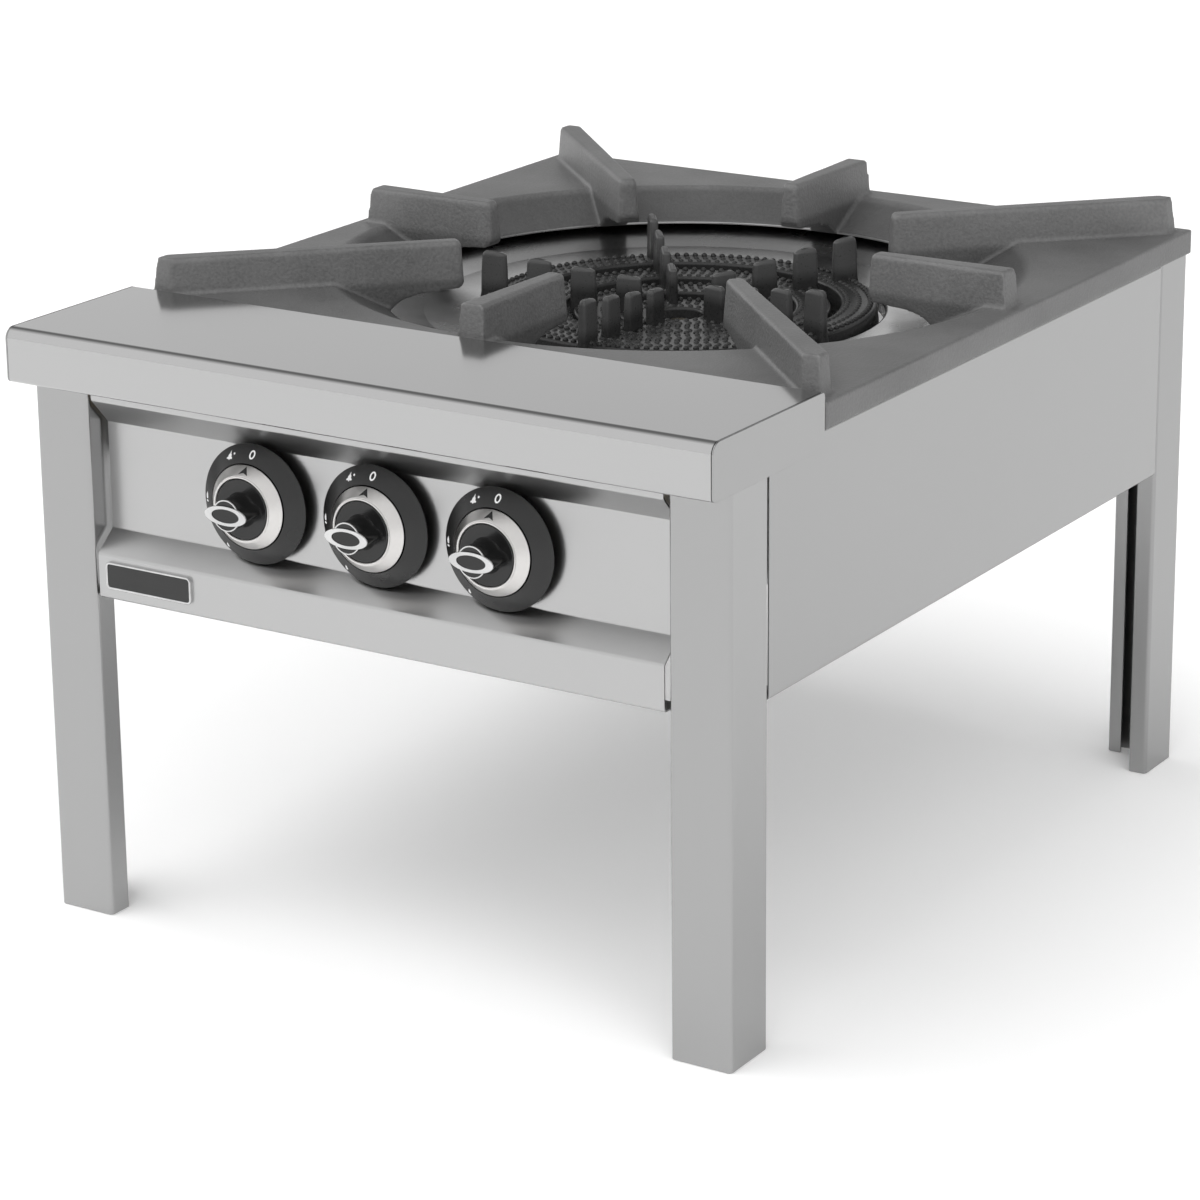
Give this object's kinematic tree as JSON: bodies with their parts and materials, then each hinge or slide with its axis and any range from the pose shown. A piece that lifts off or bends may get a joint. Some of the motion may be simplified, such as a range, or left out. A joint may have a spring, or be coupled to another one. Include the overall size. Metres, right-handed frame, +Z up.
{
  "type": "stock pot range",
  "caption": "Low gas stock pot range: folded steel stand, ring burner with upright posts under a loose finned cast grate, drip bowl, front tray and push-and-turn knobs.",
  "frame": {"origin": "on the floor, midway between the sides and midway between the knob tips and the back edge of the grate", "axes": "+X to the right seen from the front, +Y to the back, +Z up"},
  "size_m": [0.601, 0.752, 0.4805],
  "materials": {
    "satin_steel": "satin sheet, fine grain along its length",
    "bright_steel": "bright pressed sheet",
    "grate_iron": "dark grey enamelled casting with a sandy grain",
    "burner_iron": "black satin casting",
    "tube_iron": "bare grey casting",
    "brass": "machined",
    "zinc_steel": "zinc plated",
    "gas_aluminium": "drawn tube",
    "dial_black": "black moulding with white printed marks",
    "knob_silver": "turned and satin anodised",
    "grip_black": "black moulding",
    "knob_trim": "bright thin trim",
    "badge": "bare black plate in a silver frame"
  },
  "bodies": {
    "range": {"front_tray": "satin_steel", "leg_front_left": "satin_steel", "leg_front_right": "satin_steel", "leg_rear_left": "satin_steel", "leg_rear_right": "satin_steel", "control_panel": "satin_steel", "side_panel_left": "satin_steel", "side_panel_right": "satin_steel", "rear_panel": "satin_steel", "front_bulkhead": "satin_steel", "burner_bar_left": "satin_steel", "burner_bar_right": "satin_steel", "badge_plate": "badge", "burner_outer": "burner_iron", "mixing_tube_outer": "tube_iron", "injector_outer": "brass", "burner_middle": "burner_iron", "mixing_tube_middle": "tube_iron", "injector_middle": "brass", "burner_inner": "burner_iron", "mixing_tube_inner": "tube_iron", "injector_inner": "brass", "gas_valve_left": "brass", "knob_dial_left": "dial_black", "gas_tube_left": "gas_aluminium", "gas_valve_centre": "brass", "knob_dial_centre": "dial_black", "gas_tube_centre": "gas_aluminium", "gas_valve_right": "brass", "knob_dial_right": "dial_black", "gas_tube_right": "gas_aluminium", "gas_manifold": "zinc_steel", "inlet_coupling": "zinc_steel", "pilot_burner": "brass", "burner_bolts": "zinc_steel", "valve_nuts": "zinc_steel"},
    "grate": {"grate": "grate_iron"},
    "drip_bowl": {"drip_bowl": "bright_steel"},
    "plunger_left": {"valve_plunger_left": "brass"},
    "knob_left": {"valve_stem_left": "zinc_steel", "knob_skirt_left": "knob_silver", "knob_grip_left": "grip_black", "knob_cap_left": "knob_trim"},
    "plunger_centre": {"valve_plunger_centre": "brass"},
    "knob_centre": {"valve_stem_centre": "zinc_steel", "knob_skirt_centre": "knob_silver", "knob_grip_centre": "grip_black", "knob_cap_centre": "knob_trim"},
    "plunger_right": {"valve_plunger_right": "brass"},
    "knob_right": {"valve_stem_right": "zinc_steel", "knob_skirt_right": "knob_silver", "knob_grip_right": "grip_black", "knob_cap_right": "knob_trim"},
    "shutter_outer": {"air_shutter_outer": "zinc_steel"},
    "shutter_middle": {"air_shutter_middle": "zinc_steel"},
    "shutter_inner": {"air_shutter_inner": "zinc_steel"}
  },
  "joints": [
    {"name": "push_left", "type": "slide", "parent": "range", "child": "plunger_left", "axis": [0, 1, 0], "range_m": [0, 0.004], "stiffness_N_per_m": 1500, "springref_m": -0.003},
    {"name": "turn_left", "type": "hinge", "parent": "plunger_left", "child": "knob_left", "pos_m": [-0.1055, -0.35, 0.3465], "axis": [0, -1, 0], "range_deg": [0, 135]},
    {"name": "push_centre", "type": "slide", "parent": "range", "child": "plunger_centre", "axis": [0, 1, 0], "range_m": [0, 0.004], "stiffness_N_per_m": 1500, "springref_m": -0.003},
    {"name": "turn_centre", "type": "hinge", "parent": "plunger_centre", "child": "knob_centre", "pos_m": [0, -0.35, 0.3465], "axis": [0, -1, 0], "range_deg": [0, 135]},
    {"name": "push_right", "type": "slide", "parent": "range", "child": "plunger_right", "axis": [0, 1, 0], "range_m": [0, 0.004], "stiffness_N_per_m": 1500, "springref_m": -0.003},
    {"name": "turn_right", "type": "hinge", "parent": "plunger_right", "child": "knob_right", "pos_m": [0.1055, -0.35, 0.3465], "axis": [0, -1, 0], "range_deg": [0, 135]},
    {"name": "shutter_outer", "type": "slide", "parent": "range", "child": "shutter_outer", "axis": [0, 1, 0], "range_m": [0, 0.012]},
    {"name": "shutter_middle", "type": "slide", "parent": "range", "child": "shutter_middle", "axis": [0, 1, 0], "range_m": [0, 0.012]},
    {"name": "shutter_inner", "type": "slide", "parent": "range", "child": "shutter_inner", "axis": [0, 1, 0], "range_m": [0, 0.012]},
    {"name": "grate_lift", "type": "slide", "parent": "range", "child": "grate", "axis": [0, 0, 1], "range_m": [0, 0.2]},
    {"name": "bowl_lift", "type": "slide", "parent": "range", "child": "drip_bowl", "axis": [0, 0, 1], "range_m": [0, 0.1]}
  ],
  "couplings": [
    {"joint": "bowl_lift", "follows": "grate_lift", "ratio": 0.5}
  ]
}
